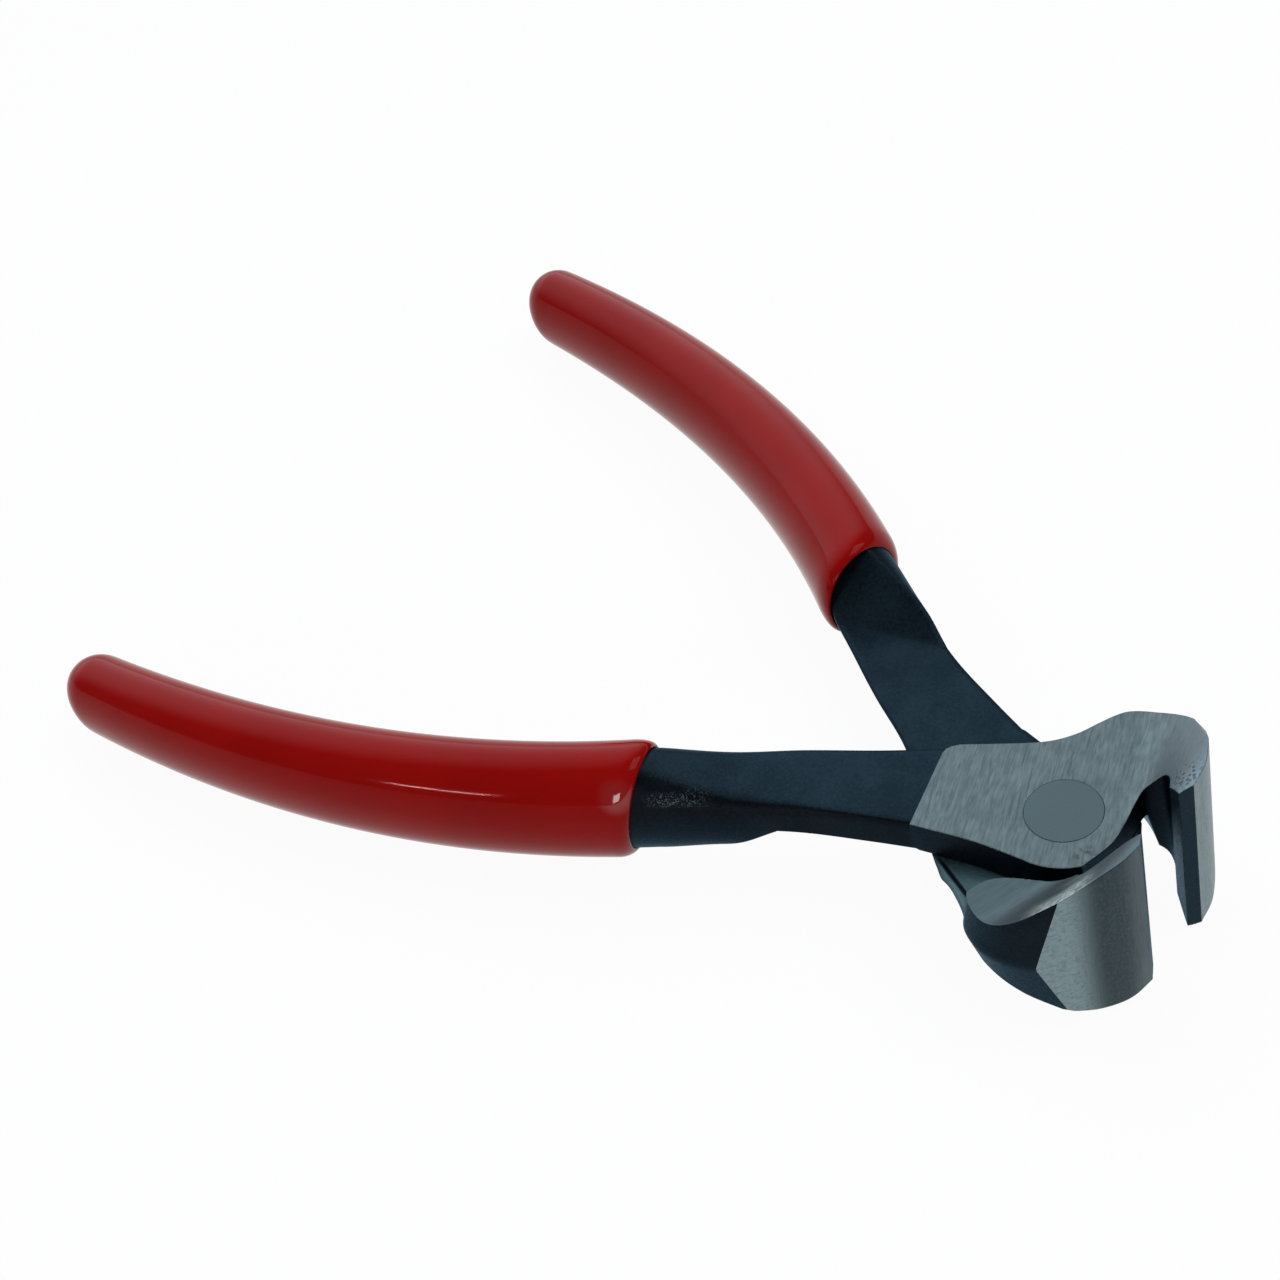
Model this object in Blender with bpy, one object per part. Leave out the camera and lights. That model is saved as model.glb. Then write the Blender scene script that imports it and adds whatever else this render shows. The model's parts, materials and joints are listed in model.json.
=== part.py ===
"""Nail puller pliers: two identical forged levers in a long lap joint, one flush rivet and two dipped grips.

The tool lies flat with its pivot along +Z. The origin is on the pivot axis, on the underside of the joint.
A lever is drawn once, jaw on the +Y side and handle on the -Y side, as it stands with the jaws part open.
The other lever is the same forging turned over about the X axis.
"""

import math

import bmesh
import bpy
from mathutils import Vector

MM = 0.001

# Joint: half thickness over the ground faces, and the running gap between the two lap faces
HALF_JOINT = 4.7
LAP_GAP = 0.3
RIVET_RADIUS = 5.0
RIVET_SHANK_RADIUS = 4.1
COUNTERSINK_DEPTH = 1.2
RIVET_CLEARANCE = 0.1
HOLE_OVERRUN = 1.0
ROUND_STEPS = 48

# Jaw: the cutting edges meet on the centre line when each lever turns back by OPEN_HALF
OPEN_HALF = math.radians(15.7)
EDGE_REACH = 14.75
BEVEL_WIDTH = 2.0
FRONT_ALLOWANCE = 9.0
BEVEL_ANGLE = math.radians(45)
JAW_TOP = 13.1
JAW_BOTTOM = 14.3
END_FACE = ((14.55, 9.4), (12.7, 13.2), (10.4, 16.4), (8.2, 19.3), (3.6, 25.4))
END_FACE_CLEAR = ((30.0, 25.4), (30.0, 4.0))

# Flare of the head from the joint to the jaw: level lines fan out about one upright axis
FLARE_AXIS = (15.4, -17.0)
FLARE_SWEEP = math.radians(23.5)
FLARE_STEPS = 12
FLARE_LIMITS = (math.radians(-23), math.radians(109))
FLARE_REACH = (12.0, 18.0, 22.0, 26.5, 32.0, 38.5, 46.0, 70.0)

# Forging: outward draft of the wall from the ground face to the parting line, and the flat land left there.
# Between the two lengths of WALL_BLEND the wall turns into the jaw's, which slopes evenly from the land up and down.
DRAFT_PLATE = 0.3
DRAFT_JAW = 1.05
DRAFT_BEYOND = 0.45
PARTING_LAND = 0.3
WALL_BLEND = (1.0, 6.0)
WALL_SLOPE_UP = 0.145
WALL_SLOPE_DOWN = 0.09
BLANK_HALF = 17.0
FORGED_STEP = 0.12

# Lap recess: round shoulder before the jaw, ramp up to the tang
SHOULDER_RADIUS = 10.3
SHOULDER_DRAFT = 0.18
SHOULDER_STEPS = 10
SHOULDER_SWEEP = (math.radians(-8.5), math.radians(72))
SHOULDER_HEEL = ((1.9, 11.4), (0.5, 12.0), (-0.95, 12.9), (-2.1, 14.1), (-2.8, 15.8), (-3.6, 19.0))
RAMP_FOOT = (-32.8, -19.2)
RAMP_HEADING = math.radians(-12.5)
RAMP_RUN = (45.0, 60.0)
RAMP_SLOPE = 0.9
LAP_FRONT = (22.0, -2.0)
LAP_BACK = ((-4.0, 40.0), (-80.0, 40.0))
LAP_DEPTH = 18.0

# Head outline on the ground face: x, y and outward draft
FOOT_EDGE = ((-15.3, -12.0, DRAFT_PLATE), (-6.8, -9.85, DRAFT_PLATE), (0.0, -9.05, DRAFT_PLATE))
NOSE_RADIUS = 9.05
NOSE_SWEEP = (math.radians(-90), math.radians(-43))
NOSE_STEPS = 6
THROAT = (
    (7.7, -1.6, 0.0),
    (7.5, 1.8, 0.0),
    (6.9, 5.4, 0.0),
    (6.9, 7.6, 0.0),
    (8.6, 9.1, 0.0),
    (10.2, 8.2, 0.0),
    (11.6, 6.0, 0.0),
)
JAW_WALL = (
    (17.5, 13.4, DRAFT_JAW),
    (13.4, 15.5, DRAFT_JAW),
    (9.6, 17.4, DRAFT_JAW),
    (6.4, 18.8, DRAFT_JAW),
    (3.4, 19.5, DRAFT_JAW),
    (0.6, 19.3, DRAFT_JAW),
    (-1.8, 18.1, DRAFT_JAW),
    (-3.0, 16.7, 1.4),
    (-4.2, 14.4, 1.9),
    (-5.5, 11.7, 3.3),
    (-7.4, 9.2, 4.0),
    (-10.0, 7.1, 4.0),
    (-14.2, 4.45, 3.6),
    (-18.2, 1.95, 2.2),
)
OUTLINE_STEPS = 3
WALL_STEPS = 2
REAR_CORNER = ((-18.9, 1.4, 0.0), (-18.75, 0.5, 0.0))

# Shank from the joint to the grip: centre, width to the inner and the outer side, half thickness,
# squareness of the section, draft of the inner and the outer side
FORGED_HALF = HALF_JOINT - FORGED_STEP
SHANK = (
    (-14.1, -4.4, 7.2, 6.5, FORGED_HALF, 14.0, 3.0, 0.3),
    (-23.2, -9.2, 6.6, 5.1, FORGED_HALF, 12.0, 1.9, 0.4),
    (-31.8, -13.5, 6.15, 4.4, FORGED_HALF, 7.0, 1.5, 0.4),
    (-40.4, -18.1, 5.75, 4.7, 5.1, 3.4, 0.9, 0.2),
)
SHANK_STEPS = 4

# Handle: centre line from the grip's mouth to its tip, with the grip's half width there and its height ratio
HANDLE = ((-50.7, -23.3), (-78.8, -42.9), (-113.0, -51.2), (-147.4, -54.0))
HANDLE_LENGTH = 102.5
GRIP_HALF_WIDTH = (6.95, -0.15, -1.35)
GRIP_HEIGHT_RATIO = 1.31
GRIP_SQUARENESS = 2.08
GRIP_WALL = 1.15
GRIP_GAP = 0.3
GRIP_LIP = 2.9
LIP_RINGS = 4
GRIP_RINGS = 16
TIP_RINGS = 5
SECTION_POINTS = 24
TANG_END = 0.94
BORE_END = 0.944
TIP_START = 0.935
TIP_END = 0.997
TIP_SWEEP = math.radians(83)
MOUTH_FADE = 0.2
# Mouth of each dip: shift towards the jaw, then lean towards it of the inner side and of the drawn top
MOUTHS = {"upper_grip": (-1.3, 1.9, 1.8), "lower_grip": (1.1, 3.3, -1.3)}

CREASE = math.radians(22)
COLOURS = {
    "forged_steel": ((0.013, 0.024, 0.034), 0.5, 0.8),
    "ground_steel": ((0.13, 0.18, 0.19), 0.4, 1.0),
    "dipped_vinyl": ((0.25, 0.01, 0.008), 0.25, 0.0),
}


def spline(points, steps):
    """Smooth run through the points, each a tuple of numbers, ends included."""
    rows = [Vector(p) for p in points]
    rows = [2 * rows[0] - rows[1]] + rows + [2 * rows[-1] - rows[-2]]
    run = []
    for i in range(1, len(rows) - 2):
        before, start, end, after = rows[i - 1 : i + 3]
        for k in range(steps):
            t = k / steps
            run.append(
                0.5
                * (
                    2 * start
                    + (end - before) * t
                    + (2 * before - 5 * start + 4 * end - after) * t**2
                    + (3 * start - before - 3 * end + after) * t**3
                )
            )
    run.append(rows[-2])
    return run


def arc(centre, radius, start, end, steps):
    """Points along a circular arc, ends included."""
    angles = [start + (end - start) * k / steps for k in range(steps + 1)]
    return [Vector((centre[0] + radius * math.cos(a), centre[1] + radius * math.sin(a))) for a in angles]


def add_object(name, mesh):
    solid = bpy.data.objects.new(name, mesh)
    bpy.context.scene.collection.objects.link(solid)
    return solid


def loft(name, rings):
    """Closed solid through rings of equal count, capped at both ends."""
    shape = bmesh.new()
    rows = [[shape.verts.new(Vector(p) * MM) for p in ring] for ring in rings]
    shape.faces.new(rows[0])
    shape.faces.new(rows[-1])
    for low, high in zip(rows, rows[1:]):
        for k in range(len(low)):
            n = (k + 1) % len(low)
            shape.faces.new((low[k], low[n], high[n], high[k]))
    bmesh.ops.recalc_face_normals(shape, faces=shape.faces)
    bmesh.ops.triangulate(shape, faces=[f for f in shape.faces if len(f.verts) > 4])
    mesh = bpy.data.meshes.new(name)
    shape.to_mesh(mesh)
    shape.free()
    return add_object(name, mesh)


def prism(name, outline, low, high):
    return loft(name, [[(p[0], p[1], z) for p in outline] for z in (low, high)])


def combine(target, tool, operation):
    """Boolean the tool into the target for good, and drop the tool."""
    step = target.modifiers.new(operation.title(), "BOOLEAN")
    step.operation = operation
    step.solver = "EXACT"
    step.object = tool
    graph = bpy.context.evaluated_depsgraph_get()
    mesh = bpy.data.meshes.new_from_object(target.evaluated_get(graph))
    target.modifiers.clear()
    target.data = mesh
    bpy.data.objects.remove(tool)


def edge_point():
    return Vector((math.cos(OPEN_HALF), math.sin(OPEN_HALF))) * EDGE_REACH


def bevel_direction():
    """From the cutting edge out along the outside bevel to the end face."""
    angle = OPEN_HALF + BEVEL_ANGLE
    return Vector((math.cos(angle), math.sin(angle)))


def head_outline():
    """Outline of the joint plate and jaw blank on the ground face, with the draft of each point."""
    edge = edge_point()
    front = edge + bevel_direction() * FRONT_ALLOWANCE
    nose = [Vector((p.x, p.y, DRAFT_PLATE)) for p in arc((0, 0), NOSE_RADIUS, *NOSE_SWEEP, NOSE_STEPS)]
    outline = spline(FOOT_EDGE, OUTLINE_STEPS)[:-1] + nose
    outline += spline(((nose[-1].x, nose[-1].y, 0.0),) + THROAT, OUTLINE_STEPS)[1:]
    outline += [Vector((edge.x, edge.y, 0.0)), Vector((front.x, front.y, 0.0))]
    outline += spline(JAW_WALL, WALL_STEPS) + [Vector(p) for p in REAR_CORNER]
    return outline


def outward(outline):
    """Unit normal of each point of a counter-clockwise outline."""
    normals = []
    for k, point in enumerate(outline):
        along = (outline[(k + 1) % len(outline)] - outline[k - 1]).xy.normalized()
        normals.append(Vector((along.y, -along.x)))
    return normals


def wall_offset(point, z):
    """How far the wall stands out from a point of the outline at this height."""
    climb = abs(z) - PARTING_LAND
    plate = point.z * (1 - climb / (HALF_JOINT - PARTING_LAND))
    if abs(z) > HALF_JOINT:
        plate = -min(point.z, DRAFT_BEYOND) * (abs(z) / HALF_JOINT - 1)
    if point.y < 0 or point.z == 0:
        return plate
    jaw = point.z - climb * (WALL_SLOPE_UP if z > 0 else WALL_SLOPE_DOWN)
    low, high = WALL_BLEND
    share = min(max((point.x - low) / (high - low), 0.0), 1.0)
    return plate + (jaw - plate) * share


def head_blank():
    """Joint plate and jaw before the flare is ground, drafted both ways from the parting line."""
    outline = head_outline()
    normals = outward(outline)
    rings = []
    for z in (-BLANK_HALF, -HALF_JOINT, -PARTING_LAND, PARTING_LAND, HALF_JOINT, BLANK_HALF):
        spots = [point.xy + normal * wall_offset(point, z) for point, normal in zip(outline, normals)]
        rings.append([(spot.x, spot.y, z) for spot in spots])
    return loft("head", rings)


def flare_height(turn, jaw_reach):
    """Height of the head from its middle on the level line at this turn from the cutting edge."""
    share = min(max(turn / FLARE_SWEEP, 0.0), 1.0)
    return HALF_JOINT + (jaw_reach - HALF_JOINT) * (0.5 + 0.5 * math.cos(math.pi * share))


def flare_cutter(side, jaw_reach):
    """Everything above the flared top face, or below the bottom one, out to the jaw's reach at its edge."""
    rings = []
    turns = [FLARE_SWEEP * k / FLARE_STEPS for k in range(FLARE_STEPS + 1)]
    turns = [FLARE_LIMITS[0]] + turns + [FLARE_LIMITS[1]]
    for turn in turns:
        heading = Vector((-math.sin(turn), math.cos(turn)))
        line = [Vector(FLARE_AXIS) + heading * reach for reach in FLARE_REACH]
        ring = [(p.x, p.y, flare_height(turn, jaw_reach) * side) for p in line]
        ring += [(p.x, p.y, 2 * BLANK_HALF * side) for p in (line[-1], line[0])]
        rings.append(ring)
    cutter = loft("flare", rings)
    shape = bmesh.new()
    shape.from_mesh(cutter.data)
    bmesh.ops.triangulate(shape, faces=shape.faces)
    shape.to_mesh(cutter.data)
    shape.free()
    return cutter


def end_face_cutter():
    """Space in front of the rounded end face, which starts where the outside bevel ends."""
    start = edge_point() + bevel_direction() * BEVEL_WIDTH
    face = [start - Vector((0.0, BEVEL_WIDTH))] + spline((tuple(start),) + END_FACE, OUTLINE_STEPS)
    return prism("end_face", face + [Vector(p) for p in END_FACE_CLEAR], -2 * BLANK_HALF, 2 * BLANK_HALF)


def section(centre, across, widths, half_height, squareness, drafts=(0.0, 0.0)):
    """Ring of a superellipse section. Across is level and points to the inner side.

    Widths and drafts are given for the inner and the outer side; the draft makes a ridge at mid height.
    """
    ring = []
    power = 2 / squareness
    for k in range(SECTION_POINTS):
        angle = 2 * math.pi * k / SECTION_POINTS
        c, s = math.cos(angle), math.sin(angle)
        side = 0 if c > 0 else 1
        share = math.copysign(abs(c) ** power, c)
        tall = math.copysign(abs(s) ** power, s)
        wide = share * (widths[side] + drafts[side] * (1 - abs(tall)))
        spot = centre + across * wide
        ring.append((spot.x, spot.y, tall * half_height))
    return ring


def handle_point(s):
    a, b, c, d = (Vector(p) for p in HANDLE)
    r = 1 - s
    return a * r**3 + b * (3 * r * r * s) + c * (3 * r * s * s) + d * s**3


def handle_heading(s):
    a, b, c, d = (Vector(p) for p in HANDLE)
    r = 1 - s
    return ((b - a) * (r * r) + (c - b) * (2 * r * s) + (d - c) * (s * s)).normalized()


def left_of(heading):
    return Vector((-heading.y, heading.x))


def grip_half_width(s):
    start, slope, bend = GRIP_HALF_WIDTH
    return start + slope * s + bend * s * s


def handle_section(s, inset, scale=1.0):
    """Section of the handle, inset from the grip's outside."""
    wide = grip_half_width(s)
    inner = -left_of(handle_heading(s))
    half = (wide - inset) * scale
    tall = (wide * GRIP_HEIGHT_RATIO - inset) * scale
    return section(handle_point(s), inner, (half, half), tall, GRIP_SQUARENESS)


def sleeve_section(s, inset, mouth):
    """Section of the handle slid along it, so that near the mouth it lies in the plane of the dip."""
    shift, inner_lean, top_lean = mouth
    heading = handle_heading(s)
    centre = handle_point(s)
    wide = grip_half_width(0)
    fade = max(0.0, 1 - s / MOUTH_FADE) ** 2
    ring = []
    for x, y, z in handle_section(s, inset):
        inner = (Vector((x, y)) - centre).dot(-left_of(heading)) / wide
        top = z / (wide * GRIP_HEIGHT_RATIO)
        slide = heading * (-fade * (shift + inner_lean * inner + top_lean * top))
        ring.append((x + slide.x, y + slide.y, z))
    return ring


def shank_and_tang():
    """Flat shank that swells into the oval tang inside the grip."""
    inset = GRIP_WALL + GRIP_GAP
    mouth = handle_point(0)
    wide = grip_half_width(0)
    tall = wide * GRIP_HEIGHT_RATIO - inset
    last = (mouth.x, mouth.y, wide - inset, wide - inset, tall, GRIP_SQUARENESS, 0.0, 0.0)
    rows = spline(SHANK + (last,), SHANK_STEPS)
    rings = []
    for k, row in enumerate(rows[:-1]):
        ahead = Vector(rows[k + 1][:2]) - Vector(rows[max(k - 1, 0)][:2])
        inner = -left_of(ahead.normalized())
        rings.append(section(Vector(row[:2]), inner, row[2:4], row[4], row[5], row[6:8]))
    rings += [handle_section(TANG_END * k / GRIP_RINGS, inset) for k in range(GRIP_RINGS + 1)]
    return loft("shank", rings)


def lap_outline(depth):
    """Outline of the lap recess at this depth below the lap face."""
    line = Vector((math.cos(RAMP_HEADING), math.sin(RAMP_HEADING)))
    foot = Vector(RAMP_FOOT) - left_of(line) * (depth / RAMP_SLOPE)
    back, ahead = RAMP_RUN
    outline = [foot - line * back, foot + line * ahead, Vector(LAP_FRONT)]
    outline += arc((0, 0), SHOULDER_RADIUS + SHOULDER_DRAFT * depth, *SHOULDER_SWEEP, SHOULDER_STEPS)
    return outline + [Vector(p) for p in SHOULDER_HEEL + LAP_BACK]


def lap_cutter():
    """Half of the joint that makes room for the other lever: round shoulder at the jaw, ramp at the tang."""
    levels = ((-LAP_DEPTH, LAP_DEPTH), (LAP_GAP / 2, -LAP_GAP / 2))
    return loft("lap", [[(p.x, p.y, z) for p in lap_outline(depth)] for z, depth in levels])


def turned(name, profile):
    """Solid of revolution about the pivot from radius and height pairs, bottom to top."""
    rings = []
    for radius, z in profile:
        rings.append([(p.x, p.y, z) for p in arc((0, 0), radius, 0, 2 * math.pi, ROUND_STEPS)[:-1]])
    return loft(name, rings)


def rivet_profile(clearance, half_length):
    cone = COUNTERSINK_DEPTH
    flank = (RIVET_RADIUS - RIVET_SHANK_RADIUS) / cone
    wide = RIVET_RADIUS + clearance + flank * (half_length - HALF_JOINT)
    slim = RIVET_SHANK_RADIUS + clearance
    seat = HALF_JOINT - cone
    return ((wide, -half_length), (slim, -seat), (slim, seat), (wide, half_length))


def lever_mesh():
    lever = head_blank()
    combine(lever, flare_cutter(1, JAW_TOP), "DIFFERENCE")
    combine(lever, flare_cutter(-1, JAW_BOTTOM), "DIFFERENCE")
    combine(lever, end_face_cutter(), "DIFFERENCE")
    combine(lever, shank_and_tang(), "UNION")
    combine(lever, lap_cutter(), "DIFFERENCE")
    hole = rivet_profile(RIVET_CLEARANCE, HALF_JOINT + HOLE_OVERRUN)
    combine(lever, turned("rivet_hole", hole), "DIFFERENCE")
    mesh = lever.data
    bpy.data.objects.remove(lever)
    return mesh


def grip_mesh(mouth):
    """Dipped sleeve: rounded mouth, tapered curved outside, round closed tip, bore over the tang."""
    lip = GRIP_LIP / HANDLE_LENGTH
    rings = []
    for k in range(GRIP_RINGS, -1, -1):
        rings.append(sleeve_section(BORE_END * k / GRIP_RINGS, GRIP_WALL, mouth))
    for k in range(1, LIP_RINGS + 1):
        turn = math.pi / 2 * k / LIP_RINGS
        rings.append(sleeve_section(lip * (1 - math.cos(turn)), GRIP_WALL * (1 - math.sin(turn)), mouth))
    for k in range(1, GRIP_RINGS + 1):
        rings.append(sleeve_section(lip + (TIP_START - lip) * k / GRIP_RINGS, 0.0, mouth))
    for k in range(1, TIP_RINGS + 1):
        turn = TIP_SWEEP * k / TIP_RINGS
        rings.append(handle_section(TIP_START + (TIP_END - TIP_START) * math.sin(turn), 0.0, scale=math.cos(turn)))
    sleeve = loft("sleeve", rings)
    mesh = sleeve.data
    bpy.data.objects.remove(sleeve)
    return mesh


def material(name):
    colour, roughness, metallic = COLOURS[name]
    paint = bpy.data.materials.new(name)
    paint.use_nodes = True
    shader = paint.node_tree.nodes["Principled BSDF"]
    shader.inputs["Base Color"].default_value = (*colour, 1)
    shader.inputs["Roughness"].default_value = roughness
    shader.inputs["Metallic"].default_value = metallic
    return paint


def place(name, mesh, paint, parent, turned_over=False):
    piece = add_object(name, mesh)
    piece.parent = parent
    if turned_over:
        piece.rotation_euler = (math.pi, 0, 0)
    if not mesh.materials:
        mesh.materials.append(paint)
    mesh.shade_smooth()
    mesh.set_sharp_from_angle(angle=CREASE)
    return piece


def main():
    for old in list(bpy.data.objects):
        bpy.data.objects.remove(old)
    pivot = bpy.data.objects.new("pivot", None)
    bpy.context.scene.collection.objects.link(pivot)
    pivot.location = (0, 0, HALF_JOINT * MM)
    forged = material("forged_steel")
    vinyl = material("dipped_vinyl")
    lever = lever_mesh()
    rivet = turned("rivet", rivet_profile(0.0, HALF_JOINT))
    rivet_mesh = rivet.data
    bpy.data.objects.remove(rivet)
    place("upper_lever", lever, forged, pivot)
    place("lower_lever", lever, forged, pivot, turned_over=True)
    place("upper_grip", grip_mesh(MOUTHS["upper_grip"]), vinyl, pivot)
    place("lower_grip", grip_mesh(MOUTHS["lower_grip"]), vinyl, pivot, turned_over=True)
    place("pivot_rivet", rivet_mesh, material("ground_steel"), pivot)


main()
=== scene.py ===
"""Nail puller pliers, dressed for a product picture.

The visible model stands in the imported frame: two forged levers with ground joint faces and jaw ends, one flush
rivet and two dipped grips. Each is drawn finer than its solid and has its own finish. A pale floor, soft lamps
and the camera make the stage.
"""

import json
import math

import bmesh
import bpy
from bpy.props import FloatProperty, FloatVectorProperty, PointerProperty
from bpy.types import Operator, Panel, PropertyGroup
from mathutils import Matrix, Vector


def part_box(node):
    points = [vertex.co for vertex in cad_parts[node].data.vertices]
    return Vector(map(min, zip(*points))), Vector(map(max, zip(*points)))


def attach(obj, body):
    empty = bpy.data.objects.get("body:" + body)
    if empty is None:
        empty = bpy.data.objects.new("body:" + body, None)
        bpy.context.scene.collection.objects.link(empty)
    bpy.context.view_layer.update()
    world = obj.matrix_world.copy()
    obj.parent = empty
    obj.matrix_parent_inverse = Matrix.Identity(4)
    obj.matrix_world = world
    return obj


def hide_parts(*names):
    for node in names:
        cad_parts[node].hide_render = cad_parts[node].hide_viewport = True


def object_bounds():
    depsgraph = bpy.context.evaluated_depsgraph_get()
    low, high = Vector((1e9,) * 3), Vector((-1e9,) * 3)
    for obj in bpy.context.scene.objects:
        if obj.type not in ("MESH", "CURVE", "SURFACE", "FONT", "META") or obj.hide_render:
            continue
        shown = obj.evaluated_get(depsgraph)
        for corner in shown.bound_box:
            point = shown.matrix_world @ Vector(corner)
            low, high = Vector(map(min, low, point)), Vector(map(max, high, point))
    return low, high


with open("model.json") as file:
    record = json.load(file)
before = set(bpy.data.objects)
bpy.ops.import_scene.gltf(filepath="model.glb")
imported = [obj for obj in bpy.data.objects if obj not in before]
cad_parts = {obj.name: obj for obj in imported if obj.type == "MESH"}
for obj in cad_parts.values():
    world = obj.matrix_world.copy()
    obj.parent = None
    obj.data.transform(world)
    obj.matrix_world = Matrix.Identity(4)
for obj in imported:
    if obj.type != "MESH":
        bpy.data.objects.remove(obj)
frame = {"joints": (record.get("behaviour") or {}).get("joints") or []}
CAD_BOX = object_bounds()

bl_info = {
    "name": "Nail Puller Pliers",
    "version": (1, 0, 0),
    "blender": (4, 5, 0),
    "location": "3D View > Sidebar > Pliers",
    "description": "Draws the levers, rivet and grips of a pair of nail puller pliers and their stage",
    "category": "Object",
}

MM = 0.001
PIVOT = Vector(frame["joints"][0]["pos_m"])
RIVET_LOW, RIVET_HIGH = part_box("pivot_rivet")
LEVER_LOW, LEVER_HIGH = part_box("upper_lever")
RIVET_RADIUS = (RIVET_HIGH.x - RIVET_LOW.x) / 2
HALF_JOINT = (RIVET_HIGH.z - RIVET_LOW.z) / 2
JAW_TOP = LEVER_HIGH.z - PIVOT.z
JAW_BOTTOM = PIVOT.z - LEVER_LOW.z


def mm(*rows):
    """Rows of millimetres as rows of metres."""
    return tuple(tuple(value * MM for value in row) for row in rows)


# Fineness of the drawing
OUTLINE_STEPS = 10
WALL_STEPS = 8
NOSE_STEPS = 16
SHOULDER_STEPS = 24
FLARE_STEPS = 36
SHANK_STEPS = 10
SECTION_POINTS = 72
TANG_RINGS = 20
GRIP_RINGS = 72
LIP_RINGS = 8
TIP_RINGS = 14
ROUND_STEPS = 96
CREASE = math.radians(24)

# Jaw: bevel behind the cutting edge and rounded end face, in plan
FRONT_ALLOWANCE = 9.0 * MM
BEVEL_ANGLE = math.radians(45)
END_FACE = mm((14.55, 9.4), (12.7, 13.2), (10.4, 16.4), (8.2, 19.3), (3.6, 25.4))
END_FACE_CLEAR = mm((30.0, 25.4), (30.0, 4.0))

# Top corner of the jaw, knocked off
CORNER = mm((10.25, 16.6, 10.5))[0]
CORNER_FACING = (0.35, 0.78, 0.51)
CORNER_CUTS = {"upper": 0.75 * MM, "lower": 0.15 * MM}
CORNER_REACH = 5.0 * MM

# Flare of the head: level lines fan out about one upright axis
FLARE_AXIS = mm((15.4, -17.0))[0]
FLARE_LIMITS = (math.radians(-23), math.radians(109))
FLARE_REACH = mm((12.0, 16.0, 20.0, 24.0, 28.0, 32.0, 36.0, 40.0, 46.0, 70.0))[0]

# Forging: half height of the blank before grinding, outward draft of the wall in millimetres from the ground
# face to the parting line, and the flat land left there. Between the two lengths of WALL_BLEND the wall turns
# into the jaw's, which slopes evenly from the land up and down. Drafts over WEB_FROM belong to the web behind
# the jaw, which stands out by its lever's share.
BLANK_HALF = 17.0 * MM
DRAFT_PLATE = 0.3
DRAFT_JAW = 1.05
DRAFT_BEYOND = 0.45 * MM
PARTING_LAND = 0.3 * MM
PARTING_ROUND = 1.1 * MM
WALL_BLEND = mm((1.0, 6.0))[0]
WALL_SLOPE_UP = 0.145
WALL_SLOPE_DOWN = 0.15
WEB_FROM = 1.3 * MM
WEB_SHARES = {"upper": 0.93, "lower": 1.28}

# Lap recess: round shoulder before the jaw, ramp up to the tang
SHOULDER_DRAFT = 0.18
SHOULDER_SWEEP = (math.radians(-8.5), math.radians(72))
SHOULDER_HEEL = mm((0.5, 12.0), (-0.95, 12.9), (-2.1, 14.1), (-2.8, 15.8), (-3.6, 19.0))
RAMP_FOOT = mm((-32.8, -19.2))[0]
RAMP_HEADING = math.radians(-12.5)
RAMP_RUN = mm((45.0, 60.0))[0]
RAMP_SLOPE = 0.9
LAP_FRONT = mm((22.0, -2.0))[0]
LAP_BACK = mm((-4.0, 40.0), (-80.0, 40.0))
LAP_DEPTH = 18.0 * MM
HOLE_OVERRUN = 1.0 * MM

# Head outline on the ground face: x, y and outward draft
FOOT_EDGE = mm((-15.3, -11.8, DRAFT_PLATE), (-6.8, -9.85, DRAFT_PLATE), (0.0, -9.05, DRAFT_PLATE))
NOSE_RADIUS = 9.05 * MM
NOSE_SWEEP = (math.radians(-90), math.radians(-43))
THROAT = mm(
    (7.7, -1.6, 0.0),
    (7.5, 1.8, 0.0),
    (6.9, 5.4, 0.0),
    (6.9, 7.6, 0.0),
    (8.6, 9.1, 0.0),
    (10.2, 8.2, 0.0),
    (11.6, 6.0, 0.0),
)
JAW_WALL = mm(
    (17.5, 13.4, DRAFT_JAW),
    (13.4, 15.5, DRAFT_JAW),
    (9.6, 17.4, DRAFT_JAW),
    (6.4, 18.8, DRAFT_JAW),
    (3.4, 19.5, DRAFT_JAW),
    (0.6, 19.3, DRAFT_JAW),
    (-1.8, 18.1, DRAFT_JAW),
    (-3.0, 16.7, 0.95),
    (-4.2, 14.4, 1.8),
    (-5.5, 11.7, 3.5),
    (-7.4, 9.2, 4.0),
    (-10.0, 7.1, 4.0),
    (-14.2, 4.45, 3.6),
    (-17.5, 2.4, 2.2),
)
REAR_CORNER = mm((-18.3, 1.6, 0.0), (-18.7, 0.85, 0.0), (-18.68, 0.1, 0.0))

# Shank: centre, width to the inner and the outer side, half thickness and draft of the two sides; then its
# squareness
SHANK_SIZES = mm(
    (-14.1, -4.4, 7.2, 6.5, 4.58, 3.0, 0.3),
    (-23.2, -9.2, 6.6, 5.1, 4.58, 1.9, 0.4),
    (-31.8, -13.5, 6.35, 4.4, 4.58, 1.5, 0.4),
    (-40.4, -18.1, 6.15, 4.7, 5.1, 0.9, 0.2),
)
SHANK_SQUARENESS = (14.0, 12.0, 7.0, 3.4)

# Handle: centre line from the grip's mouth to its tip
HANDLE = mm((-50.7, -23.3), (-78.8, -42.9), (-113.0, -51.2), (-147.4, -54.0))
HANDLE_LENGTH = 102.5 * MM
GRIP_SQUARENESS = 2.08
EARLY_TAPER = 0.1
TANG_END = 0.94
BORE_END = 0.944
TIP_START = 0.935
TIP_END = 0.997
TIP_SWEEP = math.radians(86)
MOUTH_FADE = 0.2
# Mouth of each dip: shift towards the jaw, then lean towards it of the inner side and of the drawn top
MOUTHS = {"upper": mm((-1.3, 1.9, 1.8))[0], "lower": mm((1.1, 3.3, -1.3))[0]}


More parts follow.
